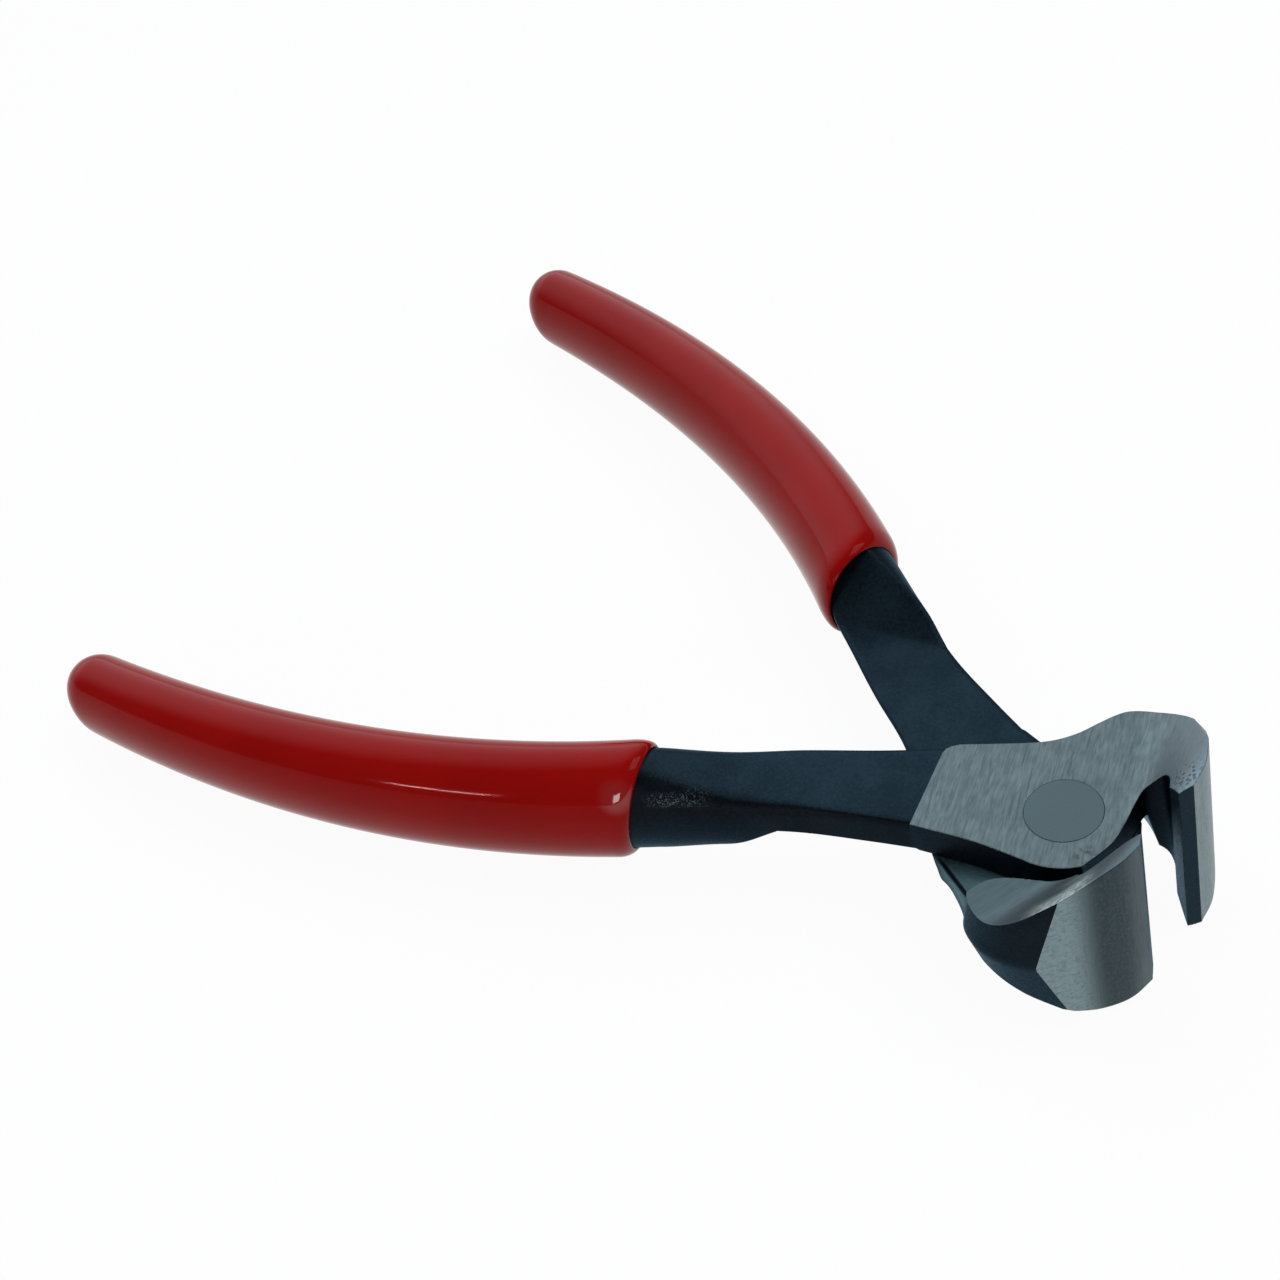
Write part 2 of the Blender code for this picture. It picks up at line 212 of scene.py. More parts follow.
def length_property(name, description, default):
    return FloatProperty(name=name, description=description, default=default, unit="LENGTH")


def angle_property(name, description, degrees):
    return FloatProperty(name=name, description=description, default=math.radians(degrees), subtype="ANGLE")


def power_property(name, description, default):
    return FloatProperty(name=name, description=description, default=default, unit="POWER")


def colour_property(name, description, default):
    return FloatVectorProperty(
        name=name, description=description, default=default, size=3, min=0.0, max=1.0, subtype="COLOR"
    )


class LeverSizes(PropertyGroup):
    """Sizes of a lever that a user would change."""

    half_joint: length_property("Half joint", "Half thickness over the ground joint faces", HALF_JOINT)
    lap_gap: length_property("Lap gap", "Running gap between the two lap faces", 0.3 * MM)
    jaw_top: length_property("Jaw top", "From the joint's middle to the top of the jaw", JAW_TOP)
    jaw_bottom: length_property("Jaw bottom", "From the joint's middle to the bottom of the jaw", JAW_BOTTOM)
    edge_reach: length_property("Edge reach", "From the pivot to the cutting edge", 14.75 * MM)
    open_half: angle_property("Half opening", "Turn of each lever from closed jaws to the drawn pose", 15.7)
    bevel_width: length_property("Bevel width", "Width of the bevel outside the cutting edge", 2.0 * MM)
    flare_sweep: angle_property("Flare sweep", "Turn over which the head thickens to the jaw", 23.5)
    shoulder_radius: length_property("Shoulder radius", "Round shoulder that clears the other lever", 10.3 * MM)


class RivetSizes(PropertyGroup):
    """Sizes of the flush rivet."""

    radius: length_property("Head radius", "Radius of the flush head", RIVET_RADIUS)
    shank_radius: length_property("Shank radius", "Radius between the two countersinks", 4.1 * MM)
    countersink: length_property("Countersink", "Depth of the cone under each head", 1.2 * MM)
    clearance: length_property("Clearance", "Gap between the rivet and its hole", 0.035 * MM)


class GripSizes(PropertyGroup):
    """Sizes of a dipped grip."""

    half_width: length_property("Half width", "Half width at the mouth", 6.95 * MM)
    taper: length_property("Taper", "Loss of half width from the mouth to the tip", 1.5 * MM)
    height_ratio: FloatProperty(
        name="Height ratio", description="Height of the oval over its width", default=1.31
    )
    wall: length_property("Wall", "Thickness of the vinyl", 1.15 * MM)
    gap: length_property("Gap", "Gap between the vinyl and the tang", 0.06 * MM)
    lip: length_property("Lip", "Length of the rounded lip at the mouth", 2.9 * MM)


class Colours(PropertyGroup):
    """Colours of the finishes."""

    # The forged colours are the oxide with painted shade on the drafted sides; the flat colours are the same
    # oxide on the level faces
    forged: colour_property("Forged", "Blue-black oxide of the forged sides", (0.0052, 0.0068, 0.0092))
    forged_light: colour_property("Forged, light", "Paler grain in the oxide", (0.0088, 0.0112, 0.0146))
    flat: colour_property("Flat", "Oxide of the flat faces", (0.0078, 0.015, 0.0214))
    flat_light: colour_property("Flat, light", "Paler grain on the flat faces", (0.0132, 0.0243, 0.0334))
    bevel: colour_property("Bevel", "Rubbed oxide inside the jaws", (0.0138, 0.0196, 0.0245))
    # Colour of rubbed edges, and of the painted glint on the tang
    wear_and_glint: colour_property("Worn edge", "Steel that shows along rubbed edges", (0.07, 0.095, 0.105))
    ground: colour_property("Ground", "Steel of the ground joint faces", (0.101, 0.133, 0.138))
    ground_dark: colour_property("Ground, dark", "Valleys of the grinding lines", (0.07, 0.095, 0.1))
    # Painted highlight up the flares towards the jaw ends
    flare_highlight: colour_property("Polish", "Brighter steel towards the jaw ends", (0.122, 0.172, 0.196))
    rivet: colour_property("Rivet", "Steel of the flush rivet", (0.057, 0.082, 0.09))
    jaw_end: colour_property("Jaw end", "Flat of the ground jaw end", (0.195, 0.268, 0.288))
    # Painted shade of the jaw end's rounded part, also the colour of the fine lines there
    jaw_end_lines_and_painted_shade: colour_property("Jaw end, dark", "Rounded part of the jaw end", (0.022, 0.04, 0.05))
    lap: colour_property("Lap", "Rubbed lap faces by the pivot", (0.13, 0.24, 0.25))
    # Painted highlight on the rounded rim of the lap faces
    lap_rim_highlight: colour_property("Lap rim", "Rounded rim of the lap faces", (0.17, 0.27, 0.3))
    # Painted highlight along the bend where the end face meets the flare
    bend_highlight: colour_property("Burr", "Bright burr where the end face meets the flare", (0.75, 0.84, 0.8))
    stain: colour_property("Stain", "Brown specks by the throat", (0.03, 0.022, 0.02))
    vinyl: colour_property("Vinyl", "Dipped grips", (0.243, 0.003, 0.0022))
    vinyl_deep: colour_property("Vinyl, deep", "Thicker patches of the dip", (0.225, 0.0026, 0.002))
    floor: colour_property("Floor", "Plain floor", (0.78, 0.78, 0.78))


class StageSizes(PropertyGroup):
    """Camera and lamps."""

    camera_place: FloatVectorProperty(
        name="Camera",
        description="Place of the camera",
        default=(0.10427, -0.12848, 0.21215),
        subtype="TRANSLATION",
        precision=5,
    )
    azimuth: angle_property("Azimuth", "Side that the camera stands on", 54.39)
    elevation: angle_property("Elevation", "Angle at which the camera looks down", 43.62)
    roll: angle_property("Roll", "Turn of the picture about the line of sight", -18.06)
    lens: FloatProperty(
        name="Lens", description="Focal length in millimetres", default=57.512, subtype="DISTANCE_CAMERA"
    )
    ambient: FloatProperty(name="Ambient", description="Level of the even light from all round", default=0.2)
    key_level: FloatProperty(name="Key", description="Level of the broad glow behind the tool", default=2.4)
    fill_power: power_property("Fill", "Power of the soft lamp behind the jaws", 4.0)
    strip_power: power_property("Strip", "Power of the narrow lamp in front", 0.45)
    glint_power: power_property("Glint", "Power of the small lamp in front of the jaws", 0.55)


class PliersSettings(PropertyGroup):
    """All the settings of the tool."""

    lever: PointerProperty(type=LeverSizes)
    rivet: PointerProperty(type=RivetSizes)
    grip: PointerProperty(type=GripSizes)
    colours: PointerProperty(type=Colours)
    stage: PointerProperty(type=StageSizes)


# Finishes. A scale is in grains to the metre, along and across where there are two. A pair of lengths says
# where a mask starts to change and where it is done. Spots are in a lever's or grip's own drawn frame.
SPOT_CORE = 0.35
EDGE_SAMPLES = 6
EDGE_RADIUS = 0.35 * MM

# Oxide
OXIDE_TINT = (0.62, 0.8, 0.95, 1.0)
GRAIN_SCALE = 2300
CLOUD_SCALE = 160
SPECK_SCALE = 3400
RUB_SCALE = 420
TANG_GLINT_SCALE = 4200
LEVEL_BAND = (0.72, 0.95)
INSIDE_AHEAD = mm((9.5, 11.5))[0]
INSIDE_ASIDE = mm((2.0, 5.0))[0]
# Painted glint: a row of pale specks on the tang by the grip's mouth
TANG_GLINT_SPOT = mm((-44.1, -24.6, 4.85))[0]
TANG_GLINT_REACH = 5.5 * MM
TANG_GLINT_ROW = mm((0.3, 1.0))[0]
OXIDE_BUMP = 0.04 * MM

# Ground joint faces, flares and rivet
GRIND_HEADING = math.radians(-72)
RIVET_HEADING = math.radians(70)
BROAD_SCALES = (330, 1900)
NARROW_SCALES = (560, 4800)
NARROW_SKEW = 0.05
PATCH_SCALE = 520
SCRATCH_SCALES = (210, 2500)
SCRATCH_SKEW = 0.12
PITTED_SPOT = mm((12.3, 7.0, 12.0))[0]
PITTED_REACH = 4.2 * MM
PIT_SCALE = 1500
# Painted highlight along the bend between the jaw end and the flare
BEND_HIGHLIGHT_SPOT = mm((9.3, 14.2, -10.0))[0]
BEND_HIGHLIGHT_REACH = 6.0 * MM
BEND_HIGHLIGHT_WIDTH = 5.5 * MM
BEND_HIGHLIGHT_SCALE = 1500
STAIN_SPOT = mm((6.0, -4.5, 4.7))[0]
STAIN_REACH = 1.9 * MM
STAIN_SCALE = 900
UNDER_BAND = mm((0.0, 4.0))[0]
# Heights over which the painted highlight comes up the flares
FLARE_BAND = mm((4.8, 8.5))[0]
GROUND_BUMP = 0.01 * MM
RIVET_BUMP = 0.008 * MM

# Jaw ends. Painted shade darkens the rounded part of each end face at its lever's strength, less by the cutting
# edge and the top
END_PAINTED_SHADES = {"upper": 0.2, "lower": 1.0}
END_FLAT = mm((11.2, 16.8))[0]
END_RIM = mm((6.0, 10.5))[0]
END_TOP = mm((3.0, 13.0))[0]
FINE_SCALES = (4600, 4600, 260)
DASH_SCALES = (760, 760, 3400)
SPOTTY_SCALE = 2200
END_BUMP = 0.012 * MM

# Lap faces
LAP_BARE = 22.0 * MM
LAP_BAND = mm((2.0, 7.0))[0]
LAP_RIM = 1.5 * MM
LAP_BUMP = 0.03 * MM
GROOVE_SPOT = mm((-8.1, 13.14, 0.0))[0]
GROOVE_REACH = 8.0 * MM
GROOVE_HEADING = math.radians(24)
GROOVE_ROW = mm((0.1, 0.42))[0]

# Vinyl
VINYL_CONSTANTS = {
    "Metallic": 0.0,
    "Specular IOR Level": 0.1,
    "Specular Tint": (1.0, 0.5, 0.52, 1.0),
    "Coat Roughness": 0.08,
}
DIP_SCALE = 60
RIPPLE_SCALE = 260
SKIN_SCALE = 900
DUST_SCALE = 3500
GLOSSY_SPOT = mm((-50.6, -29.3, 6.4))[0]
GLOSSY_REACH = 3.2 * MM
VINYL_BUMP = 0.008 * MM


class Wire:
    """A shader socket that takes part in Python expressions; each one adds a Math node."""

    def __init__(self, finish, socket):
        self.finish = finish
        self.socket = socket

    def math(self, operation, first, second):
        return self.finish.node("ShaderNodeMath", {"operation": operation}, {0: first, 1: second})

    def __abs__(self):
        return self.math("ABSOLUTE", self, 0.0)

    def __add__(self, other):
        return self.math("ADD", self, other)

    __radd__ = __add__

    def __sub__(self, other):
        return self.math("SUBTRACT", self, other)

    def __rsub__(self, other):
        return self.math("SUBTRACT", other, self)

    def __mul__(self, other):
        return self.math("MULTIPLY", self, other)

    __rmul__ = __mul__


class Finish:
    """A node tree being wired: one material, or the world."""

    def __init__(self, tree):
        self.tree = tree

    def node(self, kind, settings, sockets, output=0):
        """A new node's output. Its settings are made first, then its sockets get their values or links."""
        made = self.tree.nodes.new(kind)
        for name, value in settings.items():
            setattr(made, name, value)
        for name, value in sockets.items():
            self.feed(made, name, value)
        return Wire(self, made.outputs[output])

    def feed(self, node, name, value):
        if isinstance(value, Wire):
            self.tree.links.new(value.socket, node.inputs[name])
        else:
            node.inputs[name].default_value = value

    def place(self):
        """Place on the piece, in its own drawn frame."""
        return self.node("ShaderNodeTexCoord", {}, {}, "Object")

    def geometry(self, name):
        return self.node("ShaderNodeNewGeometry", {}, {}, name)

    def axis(self, vector, name):
        return self.node("ShaderNodeSeparateXYZ", {}, {0: vector}, name)

    def vector(self, operation, first, second, output="Vector"):
        return self.node("ShaderNodeVectorMath", {"operation": operation}, {0: first, 1: second}, output)

    def noise(self, vector, scale, detail):
        sockets = {"Vector": vector, "Scale": scale, "Detail": detail}
        return self.node("ShaderNodeTexNoise", {}, sockets, "Fac")

    def stretched(self, vector, scales):
        """The place scaled by three amounts, so that noise on it is drawn out along the smallest."""
        return self.vector("MULTIPLY", vector, scales)

    def drawn_out(self, vector, heading, along, across):
        """The place turned and scaled, so that noise on it makes lines that run along the heading."""
        sockets = {"Vector": vector, "Angle": -heading}
        spun = self.node("ShaderNodeVectorRotate", {"rotation_type": "Z_AXIS"}, sockets)
        return self.stretched(spun, (along, across, across))

    def rise(self, value, low, high):
        """0 below low and 1 above high, smooth between."""
        return self.node(
            "ShaderNodeMapRange",
            {"interpolation_type": "SMOOTHSTEP"},
            {"Value": value, "From Min": low, "From Max": high},
        )

    def near(self, vector, spot, reach):
        """1 at the spot, fading to 0 at the reach."""
        distance = self.vector("DISTANCE", vector, spot, "Value")
        return 1 - self.rise(distance, SPOT_CORE * reach, reach)

    def stripe(self, offset, row):
        """1 along a line and 0 away from it. The row says how far off it starts to fade and is gone."""
        core, end = row
        return 1 - self.rise(offset * offset, core**2, end**2)

    def mix(self, first, second, share):
        """The first colour going over to the second, each one a wire or a plain colour."""
        first, second = (c if isinstance(c, Wire) else (*c, 1.0) for c in (first, second))
        return self.node("ShaderNodeMix", {"data_type": "RGBA"}, {0: share, 6: first, 7: second}, 2)

    def rounded_normal(self, radius):
        return self.node("ShaderNodeBevel", {"samples": EDGE_SAMPLES}, {"Radius": radius})

    def edge(self, rounded):
        """How sharply the surface turns here: near 0 on a flat and higher along an edge."""
        return 1 - self.vector("DOT_PRODUCT", rounded, self.geometry("Normal"), "Value")

    def bump(self, height, distance, normal):
        return self.node("ShaderNodeBump", {}, {"Height": height, "Distance": distance, "Normal": normal})


def new_finish(name, constants):
    """A material with its constant values set, its wiring and its shader node."""
    material = bpy.data.materials.new(name)
    material.use_nodes = True
    finish = Finish(material.node_tree)
    shader = material.node_tree.nodes["Principled BSDF"]
    for socket, value in constants.items():
        shader.inputs[socket].default_value = value
    return material, finish, shader


def mottled(finish, place, grain):
    """Cloudy patches in the oxide, from 0 in the deep ones to 1 in the pale ones."""
    return finish.rise(0.45 * finish.noise(place, CLOUD_SCALE, 3) + 0.55 * grain, 0.36, 0.64)


def forged_black(colours):
    """Blue-black oxide over forged steel, with painted shade on the drafted sides, glossy specks and rubbed
    edges.

    Inside the jaws it is rubbed paler, and by the grip's mouth a row of pale specks is a painted glint.
    """
    material, finish, shader = new_finish("forged_black", {"Metallic": 1.0, "Specular Tint": OXIDE_TINT})
    place = finish.place()
    grain = finish.noise(place, GRAIN_SCALE, 3)
    speck = finish.rise(finish.noise(place, SPECK_SCALE, 2), 0.52, 0.62)
    tone = mottled(finish, place, grain)
    # Level faces take the paler flat colours, drafted sides the darker ones, a painted shade
    upright = finish.axis(finish.geometry("True Normal"), "Z")
    level = finish.rise(upright * upright, *LEVEL_BAND)
    ahead, beside = finish.axis(place, "X"), finish.axis(place, "Y")
    inside = finish.rise(ahead, *INSIDE_AHEAD) * finish.rise(ahead - beside, *INSIDE_ASIDE)
    rounded = finish.rounded_normal(EDGE_RADIUS)
    patchy = finish.rise(finish.noise(place, RUB_SCALE, 3), 0.42, 0.62)
    rub = finish.rise(finish.edge(rounded), 0.03, 0.25) * patchy
    side = finish.mix(colours.forged, colours.forged_light, tone)
    side = finish.mix(side, colours.bevel, inside)
    flat = finish.mix(colours.flat, colours.flat_light, tone)
    # Painted glint: a row of pale specks on the tang by the grip's mouth
    row = finish.stripe(finish.axis(place, "Z") - TANG_GLINT_SPOT[2], TANG_GLINT_ROW)
    glint_specks = finish.rise(finish.noise(place, TANG_GLINT_SCALE, 1), 0.52, 0.62)
    tang_glint = row * finish.near(place, TANG_GLINT_SPOT, TANG_GLINT_REACH) * glint_specks
    colour = finish.mix(finish.mix(side, flat, level), colours.wear_and_glint, 0.5 * rub + 0.7 * tang_glint)
    finish.feed(shader, "Base Color", colour)
    finish.feed(shader, "Roughness", 0.42 + 0.2 * grain - 0.08 * speck)
    finish.feed(shader, "Normal", finish.bump(0.8 * grain + 0.2 * speck, OXIDE_BUMP, rounded))
    return material


def grinding(finish, place, heading):
    """Broken lines left by a grinding wheel, from 0 in the valleys to 1 on the ridges."""
    broad = finish.noise(finish.drawn_out(place, heading, *BROAD_SCALES), 1.0, 3)
    narrow = finish.noise(finish.drawn_out(place, heading + NARROW_SKEW, *NARROW_SCALES), 1.0, 2)
    patches = finish.noise(place, PATCH_SCALE, 3)
    return finish.rise(0.4 * broad + 0.35 * narrow + 0.25 * patches, 0.32, 0.68)


def ground_joint(colours):
    """Ground joint face and flare: diagonal lines and scratches.

    The marks on it are a pitted patch and a few brown specks; a painted highlight lies up the flares and another
    along the bend by the jaw end.
    """
    material, finish, shader = new_finish("ground_joint", {"Metallic": 1.0})
    place = finish.place()
    lines = grinding(finish, place, GRIND_HEADING)
    strokes = finish.drawn_out(place, GRIND_HEADING + SCRATCH_SKEW, *SCRATCH_SCALES)
    scratch = finish.rise(finish.noise(strokes, 1.0, 2), 0.58, 0.69)
    pits = finish.node("ShaderNodeTexVoronoi", {}, {"Vector": place, "Scale": PIT_SCALE}, "Distance")
    pitted = finish.near(place, PITTED_SPOT, PITTED_REACH) * (1 - finish.rise(pits, 0.22, 0.46))
    # Painted highlight along the bend by the jaw end, ragged, near one spot
    ragged = 0.45 + 0.55 * finish.rise(finish.noise(place, BEND_HIGHLIGHT_SCALE, 2), 0.38, 0.58)
    lip = finish.rise(finish.edge(finish.rounded_normal(BEND_HIGHLIGHT_WIDTH)), 0.001, 0.02)
    bend_highlight = finish.near(place, BEND_HIGHLIGHT_SPOT, BEND_HIGHLIGHT_REACH) * lip * ragged
    specks = finish.rise(finish.noise(place, STAIN_SCALE, 2), 0.5, 0.62)
    stain = finish.near(place, STAIN_SPOT, STAIN_REACH) * specks
    height = finish.axis(place, "Z")
    under = finish.rise(-1.0 * height, *UNDER_BAND)
    # Painted highlight on the flares, mostly left off the lever's underside
    bright = finish.rise(abs(height), *FLARE_BAND) * (1 - 0.8 * under)
    colour = finish.mix(colours.ground_dark, colours.ground, lines)
    colour = finish.mix(colour, colours.rivet, 0.75 * scratch)
    colour = finish.mix(colour, colours.rivet, under)
    colour = finish.mix(colour, colours.flare_highlight, bright * (0.7 + 0.3 * lines))
    colour = finish.mix(colour, colours.forged_light, 0.8 * pitted)
    colour = finish.mix(colour, colours.stain, 0.6 * stain)
    colour = finish.mix(colour, colours.bend_highlight, bend_highlight * (0.6 + 0.4 * lines))
    finish.feed(shader, "Base Color", colour)
    finish.feed(shader, "Roughness", 0.5 - 0.14 * lines)
    relief = lines - 0.8 * scratch - 4.0 * pitted
    finish.feed(shader, "Normal", finish.bump(relief, GROUND_BUMP, finish.rounded_normal(EDGE_RADIUS)))
    return material


def ground_end(colours, shade):
    """Ground jaw end: pale scratched flat, and a rounded part darkened by painted shade of the given strength.

    The painted shade is lighter by the cutting edge and the top.
    """
    material, finish, shader = new_finish("ground_end", {"Metallic": 1.0})
    place = finish.place()
    across = finish.axis(place, "Y")
    fine = finish.noise(finish.stretched(place, FINE_SCALES), 1.0, 2)
    dashes = finish.noise(finish.stretched(place, DASH_SCALES), 1.0, 3)
    flat = finish.rise(across, *END_FLAT)
    rim = 1 - finish.rise(across, *END_RIM)
    top = finish.rise(finish.axis(place, "Z"), *END_TOP)
    # Share of the pale colour; the rest is painted shade, lighter on the flat, by the cutting edge and at the
    # top
    pale = 1 - shade * (1 - finish.rise(flat + 0.3 * rim + 0.06 * top, 0.0, 1.0))
    spotty = finish.rise(finish.noise(place, SPOTTY_SCALE, 3), 0.46, 0.66)
    colour = finish.mix(colours.jaw_end_lines_and_painted_shade, colours.jaw_end, pale)
    colour = finish.mix(colour, colours.ground_dark, 0.4 * flat * finish.rise(dashes, 0.48, 0.68))
    colour = finish.mix(colour, colours.jaw_end_lines_and_painted_shade, 0.25 * (1 - flat) * finish.rise(fine, 0.5, 0.75))
    colour = finish.mix(colour, colours.wear_and_glint, 0.3 * spotty)
    finish.feed(shader, "Base Color", colour)
    finish.feed(shader, "Roughness", 0.38 + 0.2 * fine)
    relief = 0.4 * (1 - flat) * fine + 0.6 * flat * dashes
    finish.feed(shader, "Normal", finish.bump(relief, END_BUMP, finish.rounded_normal(EDGE_RADIUS)))
    return material


def milled_lap(colours):
    """Lap faces between the levers: oxide along the shank, grey-green rubbed steel by the pivot.

    The rubbed part has a painted highlight along its rounded rim, and one dark line crosses it.
    """
    material, finish, shader = new_finish("milled_lap", {"Metallic": 1.0, "Specular Tint": OXIDE_TINT})
    place = finish.place()
    grain = finish.noise(place, GRAIN_SCALE, 3)
    oxide = finish.mix(colours.flat, colours.flat_light, mottled(finish, place, grain))
    jaw_side = finish.rise(finish.axis(place, "Y"), *LAP_BAND)
    bare = finish.near(place, (0.0, 0.0, 0.0), LAP_BARE) * jaw_side
    rounded = finish.rounded_normal(LAP_RIM)
    # Painted highlight along the rounded rim of the rubbed part
    rim = bare * finish.rise(finish.edge(rounded), 0.015, 0.045)
    from_spot = finish.vector("SUBTRACT", place, GROOVE_SPOT)
    aside = finish.axis(finish.drawn_out(from_spot, GROOVE_HEADING, 1.0, 1.0), "Y")
    groove = finish.near(place, GROOVE_SPOT, GROOVE_REACH) * finish.stripe(aside, GROOVE_ROW)
    colour = finish.mix(oxide, colours.lap, bare * (0.7 + 0.3 * grain))
    colour = finish.mix(finish.mix(colour, colours.lap_rim_highlight, rim), colours.forged, groove)
    finish.feed(shader, "Base Color", colour)
    finish.feed(shader, "Roughness", 0.4 + 0.2 * grain)
    finish.feed(shader, "Normal", finish.bump(grain, LAP_BUMP, rounded))
    return material


def ground_rivet(colours):
    """Flush rivet, ground with the joint but on a turned grain of its own."""
    material, finish, shader = new_finish("ground_rivet", {"Metallic": 1.0})
    place = finish.place()
    lines = grinding(finish, place, RIVET_HEADING)
    finish.feed(shader, "Base Color", finish.mix(colours.ground_dark, colours.rivet, 0.25 + 0.75 * lines))
    finish.feed(shader, "Roughness", 0.48 - 0.12 * lines)
    finish.feed(shader, "Normal", finish.bump(lines, RIVET_BUMP, finish.rounded_normal(EDGE_RADIUS / 2)))
    return material


def dipped_vinyl(colours):
    """Dipped vinyl: deep glossy red of uneven thickness, with a faint skin and dust.

    One spot on the lip is glossier.
    """
    material, finish, shader = new_finish("dipped_vinyl", VINYL_CONSTANTS)
    place = finish.place()
    thick = finish.rise(finish.noise(place, DIP_SCALE, 2), 0.35, 0.7)
    skin = finish.noise(place, SKIN_SCALE, 2)
    dust = finish.rise(finish.noise(place, DUST_SCALE, 1), 0.7, 0.78)
    finish.feed(shader, "Base Color", finish.mix(colours.vinyl, colours.vinyl_deep, thick))
    finish.feed(shader, "Roughness", 0.06 + 0.04 * skin + 0.15 * dust)
    finish.feed(shader, "Coat Weight", finish.near(place, GLOSSY_SPOT, GLOSSY_REACH))
    height = 0.7 * finish.noise(place, RIPPLE_SCALE, 1) + 0.3 * skin
    finish.feed(shader, "Normal", finish.bump(height, VINYL_BUMP, finish.geometry("Normal")))
    return material


def spline(points, steps):
    """Smooth run through the points, each a tuple of numbers, ends included."""
    rows = [Vector(p) for p in points]
    rows = [2 * rows[0] - rows[1]] + rows + [2 * rows[-1] - rows[-2]]
    run = []
    for i in range(1, len(rows) - 2):
        before, start, end, after = rows[i - 1 : i + 3]
        for k in range(steps):
            t = k / steps
            square = 2 * before - 5 * start + 4 * end - after
            cube = 3 * start - before - 3 * end + after
            run.append(0.5 * (2 * start + (end - before) * t + square * t**2 + cube * t**3))
    run.append(rows[-2])
    return run


def arc(radius, start, end, steps):
    """Points along a circular arc about the pivot, ends included."""
    angles = [start + (end - start) * k / steps for k in range(steps + 1)]
    return [Vector((radius * math.cos(a), radius * math.sin(a))) for a in angles]


def circle(radius, steps):
    return arc(radius, 0, 2 * math.pi, steps)[:-1]


def add_object(name, data):
    made = bpy.data.objects.new(name, data)
    bpy.context.scene.collection.objects.link(made)
    return made


def loft(name, rings, finish):
    """Closed solid through rings of equal count, capped at both ends."""
    shape = bmesh.new()
    rows = [[shape.verts.new(p) for p in ring] for ring in rings]
    shape.faces.new(rows[0])
    shape.faces.new(rows[-1])
    for low, high in zip(rows, rows[1:]):
        for k in range(len(low)):
            n = (k + 1) % len(low)
            shape.faces.new((low[k], low[n], high[n], high[k]))
    bmesh.ops.recalc_face_normals(shape, faces=shape.faces)
    bmesh.ops.triangulate(shape, faces=[f for f in shape.faces if len(f.verts) > 4])
    mesh = bpy.data.meshes.new(name)
    shape.to_mesh(mesh)
    shape.free()
    mesh.materials.append(finish)
    return add_object(name, mesh)


def prism(name, outline, low, high, finish):
    return loft(name, [[(p[0], p[1], z) for p in outline] for z in (low, high)], finish)


def combine(target, tool, operation):
    """Boolean the tool into the target for good; the faces that it leaves keep the tool's finish."""
    step = target.modifiers.new(operation.title(), "BOOLEAN")
    step.operation = operation
    step.solver = "EXACT"
    step.material_mode = "TRANSFER"
    step.object = tool
    graph = bpy.context.evaluated_depsgraph_get()
    mesh = bpy.data.meshes.new_from_object(target.evaluated_get(graph))
    target.modifiers.clear()
    target.data = mesh
    bpy.data.objects.remove(tool)


def taken_mesh(solid):
    """The mesh of a drawn solid, whose object is dropped."""
    mesh = solid.data
    bpy.data.objects.remove(solid)
    mesh.shade_smooth()
    mesh.set_sharp_from_angle(angle=CREASE)
    return mesh


def edge_point(sizes):
    return Vector((math.cos(sizes.open_half), math.sin(sizes.open_half))) * sizes.edge_reach


def bevel_direction(sizes):
    """From the cutting edge out along the outside bevel to the end face."""
    angle = sizes.open_half + BEVEL_ANGLE
    return Vector((math.cos(angle), math.sin(angle)))


def head_outline(sizes, web):
    """Outline of the joint plate and jaw blank on the ground face, with the draft of each point."""
    edge = edge_point(sizes)
    front = edge + bevel_direction(sizes) * FRONT_ALLOWANCE
    nose = [Vector((p.x, p.y, DRAFT_PLATE * MM)) for p in arc(NOSE_RADIUS, *NOSE_SWEEP, NOSE_STEPS)]
    outline = spline(FOOT_EDGE, OUTLINE_STEPS)[:-1] + nose
    outline += spline(((nose[-1].x, nose[-1].y, 0.0),) + THROAT, OUTLINE_STEPS)[1:]
    outline += [Vector((edge.x, edge.y, 0.0)), Vector((front.x, front.y, 0.0))]
    wall = [(x, y, draft * web if draft > WEB_FROM else draft) for x, y, draft in JAW_WALL]
    outline += spline(wall, WALL_STEPS) + [Vector(p) for p in REAR_CORNER]
    return outline


def outward(outline):
    """Unit normal of each point of a counter-clockwise outline."""
    normals = []
    for k in range(len(outline)):
        along = (outline[(k + 1) % len(outline)] - outline[k - 1]).xy.normalized()
        normals.append(Vector((along.y, -along.x)))
    return normals


def wall_offset(sizes, point, z):
    """How far the wall stands out from a point of the outline at this height."""
    half = sizes.half_joint
    climb = abs(z) - PARTING_LAND
    plate = point.z * (1 - climb / (half - PARTING_LAND))
    if abs(z) > half:
        plate = -min(point.z, DRAFT_BEYOND) * (abs(z) / half - 1)
    if point.y < 0 or point.z == 0:
        return plate
    jaw = point.z - climb * (WALL_SLOPE_UP if z > 0 else WALL_SLOPE_DOWN)
    low, high = WALL_BLEND
    share = min(max((point.x - low) / (high - low), 0.0), 1.0)
    return plate + (jaw - plate) * share


def head_blank(sizes, web, finish):
    """Joint plate and jaw before the flare is ground, drafted both ways from the parting line."""
    outline = head_outline(sizes, web)
    normals = outward(outline)
    heights = (PARTING_LAND, PARTING_ROUND, sizes.half_joint, BLANK_HALF)
    rings = []
    for z in [-z for z in reversed(heights)] + list(heights):
        spots = [point.xy + normal * wall_offset(sizes, point, z) for point, normal in zip(outline, normals)]
        rings.append([(spot.x, spot.y, z) for spot in spots])
    return loft("head", rings, finish)


